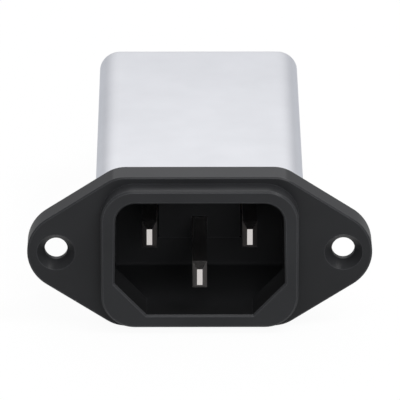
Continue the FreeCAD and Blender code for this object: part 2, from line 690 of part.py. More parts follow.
def make_filter_can():
    """A drawn can, open at the front, with windows for the latches, the bushes and the rivet."""
    body = new_body("filter_can")
    outside = new_sketch(body, "can_outside", FRONT, "can_seat")
    draw_box(outside, CAN_WIDTH, CAN_HEIGHT)
    add(body, outside, "can_depth + can_seat", backwards=True)
    dress(body, "can_corners", "can_corner", lambda edge: runs_along(edge, "Y"))
    hollow_out(body, "can_wall", lambda face: lies_at(face, "Y", -size("can_seat")))
    dress(body, "can_back_bevel", "can_back_edge", kind="Chamfer",
          chosen=lambda edge: lies_at(edge, "Y", size("can_depth")))
    back_cuts = new_sketch(body, "back_windows", FRONT, "-can_depth")
    for sign in SIDES:
        draw_box(back_cuts, "tab_thickness + 2 * bush_wall + 2 * fit_gap",
                 "tab_width + 2 * bush_wall + 2 * fit_gap", f"{sign}pin_pitch / 2", "tab_rise")
    draw_circle(back_cuts, "rivet_shank + 2 * fit_gap", up=f"{EARTH_TAB_TOP} - {RIVET_DROP}")
    cut(body, back_cuts, "2 * can_wall", backwards=True)
    latch_cuts = new_sketch(body, "latch_windows", SIDE)
    draw_box(latch_cuts, "latch_length + 2 * latch_gap", "latch_height + 2 * latch_gap",
             across="latch_setback + latch_length / 2")
    cut(body, latch_cuts, "", symmetric=True)


def make_can_liner():
    """A sleeve of insulating film inside the can, behind the earth strap."""
    start = f"({SPIGOT_END} + strap_thickness + strap_foot + liner_gap)"
    body = new_body("can_liner", back=start)
    sleeve = new_sketch(body, "liner_section", FRONT)
    draw_box(sleeve, LINER_WIDTH, LINER_HEIGHT)
    add(body, sleeve, f"{CAN_BACK_INSIDE} - liner_gap - {start}", backwards=True)
    dress(body, "liner_corners", "can_corner - can_wall - fit_gap",
          lambda edge: runs_along(edge, "Y"))
    hollow_out(body, "liner_film", lambda face: extent(face, "Y") < NEAR)


# ---------------------------------------------------------------- circuit board and its parts


def lead_places():
    """Where each round lead goes through the board, with its wire's diameter."""
    across = f"{WINDING_LEAD_RADIUS} * cos(winding_sweep / 2)"
    along = f"{WINDING_LEAD_RADIUS} * sin(winding_sweep / 2)"
    places = []
    for sign in SIDES:
        places.append((f"{sign}box_lead_pitch / 2", BOX_PLACE, "box_lead"))
        for back in ("-", "+"):
            places.append((f"{sign}{across}", f"{CHOKE_PLACE} {back} {along}", "wire_thickness"))
            places.append(
                (f"{sign}{DISC_OFFSET}", f"{DISC_PLACE} {back} disc_lead_pitch / 2", "disc_lead"))
    for back in ("-", "+"):
        places.append((f"-{RESISTOR_OFFSET}", f"{RESISTOR_PLACE} {back} resistor_lead_pitch / 2",
                       "resistor_lead"))
    return places


def make_circuit_board():
    """The board, with a hole for each lead and a slot for each leg."""
    body = new_body("circuit_board", up=BOARD_UNDER)
    width = f"{LINER_INNER_WIDTH} - 2 * board_side_gap"
    length = f"({CAN_BACK_INSIDE} - board_end_gap - {BOARD_FRONT})"
    outline = new_sketch(body, "board_outline", TOP)
    draw_box(outline, width, length, up=f"({BOARD_FRONT} + {length} / 2)")
    add(body, outline, "board_thickness")
    holes = new_sketch(body, "board_holes", TOP, "board_thickness")
    for across, back, wire in lead_places():
        draw_circle(holes, f"{wire} + 2 * lead_gap", across, back)
    legs = [(across, LEG_PLACE, "tail_thickness") for across, up in PIN_PLACES.values()]
    legs += [(f"{sign}pin_pitch / 2", TAB_LEG_PLACE, "tab_thickness") for sign in SIDES]
    for across, back, thickness in legs:
        draw_box(holes, f"{thickness} + 2 * lead_gap", "leg_width + 2 * lead_gap", across, back)
    cut(body, holes, "")


def add_leads(body, name, diameter, places, top, low):
    """Straight round leads from inside a part down through the board."""
    marks = new_sketch(body, name, TOP, top)
    for across, back in places:
        draw_circle(marks, diameter, across, back)
    add(body, marks, f"{top} - ({low})", backwards=True)


def make_x_capacitor():
    """A box film capacitor that stands on the board."""
    body = new_body("x_capacitor", back=BOX_PLACE, up=BOARD_TOP)
    outline = new_sketch(body, "box_outline", TOP)
    draw_box(outline, "box_width", "box_thickness")
    add(body, outline, "box_height")
    dress(body, "box_edges", "box_chamfer", kind="Chamfer",
          chosen=lambda edge: runs_along(edge, "Z") or lies_at(edge, "Z", size("box_height")))
    places = [(f"{sign}box_lead_pitch / 2", "0") for sign in SIDES]
    add_leads(body, "box_leads", "box_lead", places, "box_chamfer",
              "-board_thickness - lead_proud")


def make_choke_core():
    """A ferrite ring, lying flat."""
    body = new_body("choke_core", back=CHOKE_PLACE, up=f"{CHOKE_HEIGHT} - core_height / 2")
    ring = new_sketch(body, "core_ring", TOP)
    draw_circle(ring, "core_outer")
    draw_circle(ring, "core_inner")
    add(body, ring, "core_height")


def make_winding(label, middle_angle):
    """Turns of wire round one half of the ring; the turns touch in the bore."""
    body = new_body(label, back=CHOKE_PLACE, up=CHOKE_HEIGHT)
    body.Placement.Rotation = FreeCAD.Rotation(FreeCAD.Vector(0, 0, 1), middle_angle)
    bind(body, "Placement.Rotation.Angle", f"{middle_angle} - winding_sweep / 2")
    ring_middle = "(core_outer + core_inner) / 4"
    ring_width = "((core_outer - core_inner) / 2 + 2 * fit_gap)"
    ring_height = "(core_height + 2 * fit_gap)"
    turn = new_sketch(body, f"{label}_turn", FRONT)
    draw_box(turn, ring_width, ring_height, across=ring_middle)
    draw_box(turn, f"{ring_width} + 2 * wire_thickness", f"{ring_height} + 2 * wire_thickness",
             across=ring_middle)
    loop = add(body, turn, "wire_thickness", symmetric=True)
    pattern = body.newObject("PartDesign::PolarPattern", f"{label}_turns")
    pattern.Originals = [loop]
    axis = next(item for item in body.Origin.OriginFeatures if item.Role == "Z_Axis")
    pattern.Axis = (axis, [""])
    bind(pattern, "Angle", "winding_sweep")
    bind(pattern, "Occurrences", "winding_turns")
    body.Tip = pattern
    places = ((WINDING_LEAD_RADIUS, "0"),
              (f"{WINDING_LEAD_RADIUS} * cos(winding_sweep)",
               f"{WINDING_LEAD_RADIUS} * sin(winding_sweep)"))
    add_leads(body, f"{label}_leads", "wire_thickness", places, "-core_height / 2",
              f"-{WINDING_REACH} - board_thickness - lead_proud")


def make_choke_divider():
    """A card on edge in the ring's bore, between the windings."""
    body = new_body("choke_divider", back=CHOKE_PLACE, up=BOARD_TOP)
    outline = new_sketch(body, "divider_outline", TOP)
    draw_box(outline, "divider_thickness", "core_inner - 2 * fit_gap")
    add(body, outline, f"2 * {WINDING_REACH}")


def make_y_capacitor(label, sign):
    """A dipped disc capacitor that stands on its two leads."""
    body = new_body(label, f"{sign}{DISC_OFFSET}", DISC_PLACE,
                    f"{BOARD_TOP} + disc_diameter / 2")
    outline = new_sketch(body, f"{label}_disc", SIDE)
    draw_circle(outline, "disc_diameter")
    add(body, outline, "disc_thickness", symmetric=True)
    dress(body, f"{label}_dip", "disc_chamfer", kind="Chamfer",
          chosen=lambda edge: lies_at(edge, "X", size("disc_thickness") / 2)
          or lies_at(edge, "X", -size("disc_thickness") / 2))
    places = [("0", f"{back}disc_lead_pitch / 2") for back in SIDES]
    add_leads(body, f"{label}_leads", "disc_lead", places, "-disc_diameter / 8",
              "-disc_diameter / 2 - board_thickness - lead_proud")


def make_bleed_resistor():
    """An axial resistor lying on the board, its wire bent down at both ends."""
    axis_height = "(resistor_diameter / 2)"
    body = new_body("bleed_resistor", f"-{RESISTOR_OFFSET}", RESISTOR_PLACE,
                    f"{BOARD_TOP} + {axis_height}")
    low = f"-{axis_height} - board_thickness - lead_proud"
    reach = "resistor_lead_pitch / 2"
    path = new_sketch(body, "resistor_wire_path", SIDE)
    draw_lines(path, ((f"-{reach}", low), (f"-{reach}", "0"), (reach, "0"), (reach, low)),
               closed=False)
    section = new_sketch(body, "resistor_wire_section", TOP, low)
    draw_circle(section, "resistor_lead", up=f"-{reach}")
    wire = body.newObject("PartDesign::AdditivePipe", "resistor_wire")
    wire.Profile = section
    wire.Spine = (path, [])
    wire.Transition = "Right corner"
    doc.recompute()
    half = "resistor_length / 2"
    cap = "resistor_length / 2 - resistor_cap"
    barrel = new_sketch(body, "resistor_barrel_profile", SIDE)
    draw_lines(barrel, (
        (f"-({half})", "0"), (f"-({half})", "resistor_diameter / 2"),
        (f"-({cap})", "resistor_diameter / 2"), (f"-({cap})", "resistor_waist / 2"),
        (cap, "resistor_waist / 2"), (cap, "resistor_diameter / 2"),
        (half, "resistor_diameter / 2"), (half, "0")))
    turned = body.newObject("PartDesign::Revolution", "resistor_barrel")
    turned.Profile = barrel
    turned.ReferenceAxis = (barrel, ["H_Axis"])
    turned.Angle = 360
    doc.recompute()


# ---------------------------------------------------------------- tabs at the back


def make_live_tab(label, sign):
    """A blanked push-on tab, shouldered inside its bush, with a leg down to the board."""
    body = new_body(label, f"{sign}pin_pitch / 2", "0", "tab_rise")
    half = "(tab_width / 2)"
    wide = "(tab_width / 2 + tab_shoulder)"
    front = f"({TAB_LEG_BACK} - leg_width)"
    low = f"({LEAD_END} - tab_rise)"
    outline = new_sketch(body, f"{label}_blank", SIDE)
    draw_lines(outline, (
        (front, wide), (front, low), (TAB_LEG_BACK, low), (TAB_LEG_BACK, f"-{wide}"),
        (BUSH_INNER_END, f"-{wide}"), (BUSH_INNER_END, f"-{half}"),
        (f"{TAB_TIP} - tab_tip", f"-{half}"), (TAB_TIP, f"-{half} + tab_tip"),
        (TAB_TIP, f"{half} - tab_tip"), (f"{TAB_TIP} - tab_tip", half),
        (BUSH_INNER_END, half), (BUSH_INNER_END, wide)))
    draw_circle(outline, "tab_eye", across=f"{TAB_TIP} - tab_eye_setback")
    add(body, outline, "tab_thickness", symmetric=True)


def make_tab_bush(label, sign):
    """An insulating bush that snaps into the can's back round a live tab."""
    body = new_body(label, f"{sign}pin_pitch / 2", "can_depth", "tab_rise")
    neck_width, neck_height = "(tab_thickness + 2 * bush_wall)", "(tab_width + 2 * bush_wall)"
    flange = new_sketch(body, f"{label}_flange", FRONT)
    draw_box(flange, f"{neck_width} + 2 * bush_flange", f"{neck_height} + 2 * bush_flange")
    add(body, flange, "bush_stand", backwards=True)
    dress(body, f"{label}_rounds", "bush_flange",
          lambda edge: runs_along(edge, "Y"))
    neck = new_sketch(body, f"{label}_neck", FRONT)
    draw_box(neck, neck_width, neck_height)
    add(body, neck, "can_wall + bush_lip")
    barb = new_sketch(body, f"{label}_barb", FRONT, "can_wall + 2 * fit_gap")
    draw_box(barb, neck_width, f"{neck_height} + 2 * bush_barb")
    add(body, barb, "bush_lip - 2 * fit_gap", draft="-atan(bush_barb / bush_lip)")
    slot = new_sketch(body, f"{label}_slot", FRONT, "can_wall + bush_lip")
    draw_box(slot, "tab_thickness + 2 * fit_gap", "tab_width + 2 * fit_gap")
    cut(body, slot, "")


def make_earth_tab():
    """A bent push-on tab whose foot lies on the can's back."""
    body = new_body("earth_tab", back="can_depth", up=EARTH_TAB_TOP)
    tip = "bush_stand + tab_length"
    foot = f"-{EARTH_FOOT}"
    profile = new_sketch(body, "earth_tab_profile", SIDE)
    draw_lines(profile, (
        ("0", "0"), ("0", foot), ("tab_thickness", foot),
        ("tab_thickness", "-tab_thickness"), (tip, "-tab_thickness"), (tip, "0")))
    add(body, profile, "tab_width", symmetric=True)
    dress(body, "earth_tab_outer_bend", "bend_round + tab_thickness / 2",
          lambda edge: lies_at(edge, "Y", 0) and lies_at(edge, "Z", 0))
    dress(body, "earth_tab_inner_bend", "bend_round",
          lambda edge: lies_at(edge, "Y", size("tab_thickness"))
          and lies_at(edge, "Z", -size("tab_thickness")))
    dress(body, "earth_tab_tip", "tab_tip",
          lambda edge: runs_along(edge, "Z")
          and lies_at(edge, "Y", size("bush_stand") + size("tab_length")), kind="Chamfer")
    eye = new_sketch(body, "earth_tab_eye", TOP)
    draw_circle(eye, "tab_eye", up=f"{tip} - tab_eye_setback")
    cut(body, eye, "tab_thickness")
    hole = new_sketch(body, "earth_foot_hole", FRONT)
    draw_circle(hole, "rivet_shank + 2 * fit_gap", up=f"-{RIVET_DROP}")
    cut(body, hole, "tab_thickness")


def make_earth_tab_rivet():
    """A tubular rivet through the earth tab's foot and the can's back."""
    body = new_body("earth_tab_rivet", back="can_depth", up=f"{EARTH_TAB_TOP} - {RIVET_DROP}")
    inner, outer = "-can_wall", "tab_thickness"
    profile = new_sketch(body, "rivet_profile", SIDE)
    draw_lines(profile, (
        (f"{inner} - rivet_head_height", "rivet_bore / 2"),
        (f"{inner} - rivet_head_height", "rivet_shank / 2"),
        (inner, "rivet_roll / 2"), (inner, "rivet_shank / 2"), (outer, "rivet_shank / 2"),
        (outer, "rivet_head / 2"), (f"{outer} + rivet_head_height / 2", "rivet_head / 2"),
        (f"{outer} + rivet_head_height", "rivet_shank / 2"),
        (f"{outer} + rivet_head_height", "rivet_bore / 2")))
    turned = body.newObject("PartDesign::Revolution", "rivet_body")
    turned.Profile = profile
    turned.ReferenceAxis = (profile, ["H_Axis"])
    turned.Angle = 360
    doc.recompute()


# ---------------------------------------------------------------- the whole inlet


def write_parts():
    """Checks every object and writes one STEP file for each body."""
    doc.recompute()
    for item in doc.Objects:
        if "Invalid" in item.State or "Error" in item.State:
            raise RuntimeError(f"{item.Name} failed: {item.State}")
    for body in parts:
        if body.Shape.isNull() or not body.Shape.isValid():
            raise RuntimeError(f"{body.Label} has no valid shape")
        if len(body.Shape.Solids) != 1:
            raise RuntimeError(f"{body.Label} is not one solid")
    os.makedirs("parts", exist_ok=True)
    for body in parts:
        body.Shape.exportStep(f"parts/{body.Label}.step")


make_inlet_moulding()
make_pin("line_pin", "live_recess")
make_pin("neutral_pin", "live_recess")
make_pin("earth_pin", "earth_recess")
make_filter_can()
make_earth_strap()
make_can_liner()
make_circuit_board()
make_x_capacitor()
make_bleed_resistor()
make_choke_core()
make_winding("line_winding", 180)
make_winding("neutral_winding", 0)
make_choke_divider()
make_y_capacitor("line_y_capacitor", "-")
make_y_capacitor("neutral_y_capacitor", "")
make_live_tab("line_tab", "-")
make_live_tab("neutral_tab", "")
make_tab_bush("line_tab_bush", "-")
make_tab_bush("neutral_tab_bush", "")
make_earth_tab()
make_earth_tab_rivet()
write_parts()
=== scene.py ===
"""The finish, light and camera of a C14 panel inlet with its filter can.

Lengths are in metres. The socket faces -Y, and +Y runs into the equipment.
"""

import math

import bpy
from mathutils import Matrix, Vector


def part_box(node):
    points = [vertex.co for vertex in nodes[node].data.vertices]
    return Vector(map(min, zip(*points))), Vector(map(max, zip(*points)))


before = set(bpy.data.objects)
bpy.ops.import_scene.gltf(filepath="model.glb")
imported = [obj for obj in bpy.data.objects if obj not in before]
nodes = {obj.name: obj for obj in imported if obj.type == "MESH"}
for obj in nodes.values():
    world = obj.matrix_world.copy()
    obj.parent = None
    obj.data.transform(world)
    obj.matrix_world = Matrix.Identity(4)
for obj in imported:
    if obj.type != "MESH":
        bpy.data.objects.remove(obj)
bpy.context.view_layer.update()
MM = 0.001

# ---------------------------------------------------------------- node helpers

NOISE_LOW, NOISE_HIGH = 0.3, 0.7  # most of a noise lies between these


def principled(material):
    """A material's Principled shader."""
    return material.node_tree.nodes["Principled BSDF"]


def new_material(name):
    """A node material with its tree, its Principled shader and the object's own coordinates."""
    material = bpy.data.materials.new(name)
    material.use_nodes = True
    tree = material.node_tree
    coordinates = tree.nodes.new("ShaderNodeTexCoord").outputs["Object"]
    return material, tree, principled(material), coordinates


def axes(tree, kind):
    """The X, Y and Z of one kind of texture coordinate."""
    node = tree.nodes.new("ShaderNodeSeparateXYZ")
    tree.links.new(tree.nodes.new("ShaderNodeTexCoord").outputs[kind], node.inputs["Vector"])
    return node.outputs


def stretched(tree, coordinates, scale):
    """The coordinates, scaled along each axis on its own."""
    mapping = tree.nodes.new("ShaderNodeMapping")
    mapping.inputs["Scale"].default_value = scale
    tree.links.new(coordinates, mapping.inputs["Vector"])
    return mapping.outputs["Vector"]


def noise(tree, vector, grain, detail=3.0, rough=0.5):
    """Noise whose lumps measure about grain metres."""
    node = tree.nodes.new("ShaderNodeTexNoise")
    node.inputs["Scale"].default_value = 1 / grain
    node.inputs["Detail"].default_value = detail
    node.inputs["Roughness"].default_value = rough
    tree.links.new(vector, node.inputs["Vector"])
    return node.outputs["Fac"]


def ramp(tree, value, start, stop, first, last, kind="SMOOTHSTEP"):
    """A number that goes from first to last as the value goes from start to stop."""
    node = tree.nodes.new("ShaderNodeMapRange")
    node.interpolation_type = kind
    for socket, number in (("From Min", start), ("From Max", stop), ("To Min", first),
                           ("To Max", last)):
        node.inputs[socket].default_value = number
    tree.links.new(value, node.inputs["Value"])
    return node.outputs["Result"]


def spread(tree, value, middle, reach):
    """Noise turned into numbers around a middle."""
    return ramp(tree, value, NOISE_LOW, NOISE_HIGH, middle - reach, middle + reach, "LINEAR")


def blend_colours(tree, value, first, second):
    """A colour that runs from first to second as the noise rises."""
    node = tree.nodes.new("ShaderNodeValToRGB")
    for stop, place, colour in zip(node.color_ramp.elements, (NOISE_LOW, NOISE_HIGH),
                                   (first, second)):
        stop.position = place
        stop.color = (*colour, 1)
    tree.links.new(value, node.inputs["Fac"])
    return node.outputs["Color"]


def calculate(tree, operation, first, second=None):
    """One step of arithmetic on node values. The second may be a plain number."""
    node = tree.nodes.new("ShaderNodeMath")
    node.operation = operation
    tree.links.new(first, node.inputs[0])
    if isinstance(second, float):
        node.inputs[1].default_value = second
    elif second is not None:
        tree.links.new(second, node.inputs[1])
    return node.outputs[0]


def dot_product(tree, first, second):
    """How far two directions agree. The second may be a plain vector."""
    node = tree.nodes.new("ShaderNodeVectorMath")
    node.operation = "DOT_PRODUCT"
    tree.links.new(first, node.inputs[0])
    if isinstance(second, tuple):
        node.inputs[1].default_value = second
    else:
        tree.links.new(second, node.inputs[1])
    return node.outputs["Value"]


def scaled(tree, colour, share):
    """A colour times a node's share. The colour may be plain numbers."""
    node = tree.nodes.new("ShaderNodeVectorMath")
    node.operation = "SCALE"
    if isinstance(colour, tuple):
        node.inputs[0].default_value = colour
    else:
        tree.links.new(colour, node.inputs[0])
    tree.links.new(share, node.inputs["Scale"])
    return node.outputs["Vector"]


def source(shader, socket):
    """What is linked to one of a shader's sockets."""
    return shader.inputs[socket].links[0].from_socket


def bevelled_normal(tree, radius):
    """The surface's direction, eased over the edges by a radius."""
    node = tree.nodes.new("ShaderNodeBevel")
    node.inputs["Radius"].default_value = radius
    return node.outputs["Normal"]


def bumps(tree, shader, layers, normal=None):
    """Stacks bump layers, each a noise and its height in metres."""
    for value, height in layers:
        node = tree.nodes.new("ShaderNodeBump")
        node.inputs["Distance"].default_value = height
        tree.links.new(value, node.inputs["Height"])
        if normal is not None:
            tree.links.new(normal, node.inputs["Normal"])
        normal = node.outputs["Normal"]
    tree.links.new(normal, shader.inputs["Normal"])


def shaded(colour, share):
    """A plain colour made lighter or darker by a share."""
    return tuple(channel * share for channel in colour)


# ---------------------------------------------------------------- finishes

# Moulded plastic: the eroded grain of the mould, and swirls from the flow of the plastic.
GRAIN, GRAIN_HEIGHT = 0.35 * MM, 0.002 * MM
SWIRL, SWIRL_HEIGHT = 9 * MM, 0.003 * MM
SWIRL_SHADES = (0.9, 1.1)
SWIRL_GLOSS = 0.03

# Rolled metal: fine lines, drawn out along the rolling, and clouds in the plating.
LINE, LINE_HEIGHT, LINE_STRETCH = 0.12 * MM, 0.0001 * MM, 0.06
CLOUD, CLOUD_HEIGHT = 7 * MM, 0.002 * MM
CLOUD_SHADES = (0.97, 1.02)

# Mixed materials: specks.
SPECK_HEIGHT, SPECK_GLOSS = 0.004 * MM, 0.05

# Where the moulding's rim and socket lie, front to back and from the centre.
COLLAR_FRONT, RIM_END = -6.7 * MM, -6.3 * MM
INSIDE_START = -6.5 * MM
SOCKET_HALVES = {"X": 11.95 * MM, "Z": 8.4 * MM}
SOCKET_EDGE = 0.1 * MM
# Where the socket's painted shade pales, from the mouth to the base.
PAINTED_SHADE_START, PAINTED_SHADE_END = -6.0 * MM, 2.0 * MM

HIGHLIGHT_TURN = 0.93  # the cosine between eased and true surface where an edge's painted highlight is full


def moulded(name, colour, roughness, specular):
    """Moulded thermoplastic: a faint eroded grain and slow swirls in its gloss."""
    material, tree, shader, place = new_material(name)
    swirl = noise(tree, place, SWIRL, detail=2)
    fine = noise(tree, place, GRAIN, detail=4, rough=0.6)
    tint = blend_colours(tree, swirl, *(shaded(colour, share) for share in SWIRL_SHADES))
    tree.links.new(tint, shader.inputs["Base Color"])
    tree.links.new(spread(tree, swirl, roughness, SWIRL_GLOSS), shader.inputs["Roughness"])
    shader.inputs["Specular IOR Level"].default_value = specular
    bumps(tree, shader, ((fine, GRAIN_HEIGHT), (swirl, SWIRL_HEIGHT)))
    return material


def rolled_metal(name, colour, roughness, along="Y", streaks=0.06, edge=0.0):
    """Plated sheet or bar: rolling lines along one axis and a slight unevenness of the plating."""
    material, tree, shader, place = new_material(name)
    scale = tuple(LINE_STRETCH if axis == along else 1.0 for axis in "XYZ")
    lines = noise(tree, stretched(tree, place, scale), LINE)
    cloud = noise(tree, place, CLOUD)
    tint = blend_colours(tree, cloud, *(shaded(colour, share) for share in CLOUD_SHADES))
    tree.links.new(tint, shader.inputs["Base Color"])
    tree.links.new(spread(tree, lines, roughness, streaks), shader.inputs["Roughness"])
    shader.inputs["Metallic"].default_value = 1.0
    normal = bevelled_normal(tree, edge) if edge else None
    bumps(tree, shader, ((lines, LINE_HEIGHT), (cloud, CLOUD_HEIGHT)), normal)
    return material


def speckled(name, first, second, grain, roughness, specular=0.4):
    """A mixed material such as laminate, ferrite, card or lacquer."""
    material, tree, shader, place = new_material(name)
    fine = noise(tree, place, grain, detail=5, rough=0.6)
    tree.links.new(blend_colours(tree, fine, first, second), shader.inputs["Base Color"])
    tree.links.new(spread(tree, fine, roughness, SPECK_GLOSS), shader.inputs["Roughness"])
    shader.inputs["Specular IOR Level"].default_value = specular
    bumps(tree, shader, ((fine, SPECK_HEIGHT),))
    return material


def socket_painted_light_and_dullness(material, rim_painted_sheen, mouth_painted_shade, base_painted_shade, roughness):
    """The socket: painted sheen that lightens the collar's front rim, and dull walls with painted
    shade, darkest at the mouth and paler towards the base.
    """
    tree = material.node_tree
    shader = principled(material)
    place = axes(tree, "Object")
    inside = ramp(tree, place["Y"], INSIDE_START, RIM_END, 0.0, 1.0)
    for axis, half in SOCKET_HALVES.items():
        across = calculate(tree, "ABSOLUTE", place[axis])
        edge = ramp(tree, across, half, half + SOCKET_EDGE, 1.0, 0.0)
        inside = calculate(tree, "MULTIPLY", inside, edge)
    # Painted sheen: the collar's front rim is made lighter.
    painted_rim_sheen = ramp(tree, place["Y"], COLLAR_FRONT, RIM_END, rim_painted_sheen, 1.0)
    # Painted shade: the socket's walls are made darker, most at the mouth.
    painted_wall_shade = ramp(tree, place["Y"], PAINTED_SHADE_START, PAINTED_SHADE_END, mouth_painted_shade, base_painted_shade)
    shade = tree.nodes.new("ShaderNodeMix")
    for value, socket in ((inside, "Factor"), (painted_rim_sheen, "A"), (painted_wall_shade, "B")):
        tree.links.new(value, shade.inputs[socket])
    tint = scaled(tree, source(shader, "Base Color"), shade.outputs["Result"])
    tree.links.new(tint, shader.inputs["Base Color"])
    dull = calculate(tree, "MULTIPLY", inside, roughness)
    dull = calculate(tree, "MAXIMUM", source(shader, "Roughness"), dull)
    tree.links.new(dull, shader.inputs["Roughness"])


def paint_edge_highlights(material, radius, gain):
    """Paints highlights: lightens the colour where the surface turns within radius metres."""
    tree = material.node_tree
    shader = principled(material)
    straight = tree.nodes.new("ShaderNodeNewGeometry").outputs["Normal"]
    turn = dot_product(tree, bevelled_normal(tree, radius), straight)
    # Painted highlight: the colour is lightened along convex and concave edges alike.
    share = ramp(tree, turn, HIGHLIGHT_TURN, 1.0, gain, 1.0)
    tint = scaled(tree, source(shader, "Base Color"), share)
    tree.links.new(tint, shader.inputs["Base Color"])


def dull_sides(material, roughness, start, stop):
    """Makes faces duller the more they look sideways or down, from a share start to a stop."""
    tree = material.node_tree
    shader = principled(material)
    facing = axes(tree, "Normal")
    sideways = calculate(tree, "ABSOLUTE", facing["X"])
    down = calculate(tree, "MULTIPLY", facing["Z"], -1.0)
    share = calculate(tree, "MAXIMUM", sideways, down)
    dull = ramp(tree, share, start, stop, 0.0, roughness)
    dull = calculate(tree, "MAXIMUM", source(shader, "Roughness"), dull)
    tree.links.new(dull, shader.inputs["Roughness"])


BLACK = (0.0228, 0.0234, 0.0250)
BUSH_BLACK = (0.012, 0.012, 0.013)
ZINC = (0.855, 0.858, 0.866)
ZINC_GRAZING_SHADE = (0.52, 0.54, 0.59)  # an edge tint that paints shade into the plating's reflections where it is seen at a low angle
TIN = (0.74, 0.725, 0.70)
NICKEL = (0.62, 0.59, 0.575)
CONTACT_METALLIC = 0.99  # just under 1, so that the blades' sides show in the dark socket
RIVET_SHADE = 0.92

finishes = {
    "moulding": moulded("moulding_black", BLACK, roughness=0.32, specular=0.13),
    "can": rolled_metal("can_plating", ZINC, roughness=0.30, streaks=0.02, edge=0.4 * MM),
    "contact": rolled_metal("contact_plating", NICKEL, roughness=0.09, streaks=0.02),
    "tab": rolled_metal("tab_plating", TIN, roughness=0.30, streaks=0.02),
    "rivet": rolled_metal("rivet_plating", shaded(ZINC, RIVET_SHADE), roughness=0.32,
                          along="X"),
    "strap": rolled_metal("strap_plating", TIN, roughness=0.34, along="Z"),
    "bush": moulded("bush_black", BUSH_BLACK, roughness=0.42, specular=0.3),
    "film": speckled("liner_film", (0.62, 0.56, 0.40), (0.70, 0.64, 0.47),
                     grain=0.8 * MM, roughness=0.35),
    "board": speckled("board_laminate", (0.015, 0.10, 0.05), (0.03, 0.15, 0.07),
                      grain=0.5 * MM, roughness=0.4),
    "box": speckled("box_capacitor", (0.62, 0.45, 0.05), (0.68, 0.50, 0.07),
                    grain=0.6 * MM, roughness=0.45),
    "ferrite": speckled("choke_ferrite", (0.02, 0.02, 0.022), (0.05, 0.05, 0.05),
                        grain=0.25 * MM, roughness=0.6),
    "wire": speckled("winding_enamel", (0.45, 0.15, 0.04), (0.58, 0.22, 0.06),
                     grain=0.7 * MM, roughness=0.3, specular=0.6),
    "card": speckled("divider_card", (0.55, 0.50, 0.40), (0.66, 0.61, 0.50),
                     grain=0.3 * MM, roughness=0.8, specular=0.2),
    "disc": speckled("disc_coating", (0.04, 0.12, 0.42), (0.06, 0.17, 0.52),
                     grain=0.9 * MM, roughness=0.4),
    "resistor": speckled("resistor_lacquer", (0.10, 0.28, 0.42), (0.14, 0.35, 0.50),
                         grain=0.6 * MM, roughness=0.35),
}

FINISH_OF = {
    "inlet_moulding": "moulding",
    "filter_can": "can",
    "line_pin": "contact", "neutral_pin": "contact", "earth_pin": "contact",
    "line_tab": "tab", "neutral_tab": "tab", "earth_tab": "tab",
    "earth_tab_rivet": "rivet",
    "earth_strap": "strap",
    "line_tab_bush": "bush", "neutral_tab_bush": "bush",
    "can_liner": "film",
    "circuit_board": "board",
    "x_capacitor": "box",
    "choke_core": "ferrite",
    "line_winding": "wire", "neutral_winding": "wire",
    "choke_divider": "card",
    "line_y_capacitor": "disc", "neutral_y_capacitor": "disc",
    "bleed_resistor": "resistor",
}

# Painted shade in the can's reflections at low angles, through a dark edge tint.
principled(finishes["can"]).inputs["Specular Tint"].default_value = (*ZINC_GRAZING_SHADE, 1)
principled(finishes["contact"]).inputs["Metallic"].default_value = CONTACT_METALLIC
# Painted light on the moulding: sheen on the collar's rim and shade in the socket.
socket_painted_light_and_dullness(finishes["moulding"], rim_painted_sheen=1.22, mouth_painted_shade=0.28, base_painted_shade=0.88, roughness=0.75)
# Painted highlights along the moulding's edges.
paint_edge_highlights(finishes["moulding"], radius=0.2 * MM, gain=2.2)
dull_sides(finishes["moulding"], roughness=0.50, start=0.15, stop=0.45)
dull_sides(finishes["contact"], roughness=0.4, start=0.3, stop=0.8)

for name, node in nodes.items():
    for slot in node.material_slots:
        slot.material = finishes[FINISH_OF[name]]

# ---------------------------------------------------------------- floor

FLOOR_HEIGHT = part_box("inlet_moulding")[0].z
FLOOR_SIZE = 4.0
FLOOR_PAINT = 0.4  # how much light the floor throws back at the object
PAPER = 1.0  # how white floor and background look to the camera
SHADOW_SHARE = 0.06  # how much of the floor's white comes from the light on it


def through_light_path(tree, seen, other):
    """One shader for rays from the camera, through glass or off gloss, another for the light."""
    path = tree.nodes.new("ShaderNodeLightPath")
    most = path.outputs["Is Camera Ray"]
    for ray in ("Is Glossy Ray", "Is Transmission Ray"):
        most = calculate(tree, "MAXIMUM", most, path.outputs[ray])
    mix = tree.nodes.new("ShaderNodeMixShader")
    tree.links.new(most, mix.inputs["Fac"])
    tree.links.new(other, mix.inputs[1])
    tree.links.new(seen, mix.inputs[2])
    return mix.outputs["Shader"]


def grey_paint(tree, grey):
    """A matt grey shader."""
    paint = tree.nodes.new("ShaderNodeBsdfDiffuse")
    paint.inputs["Color"].default_value = (grey, grey, grey, 1)
    return paint.outputs["BSDF"]


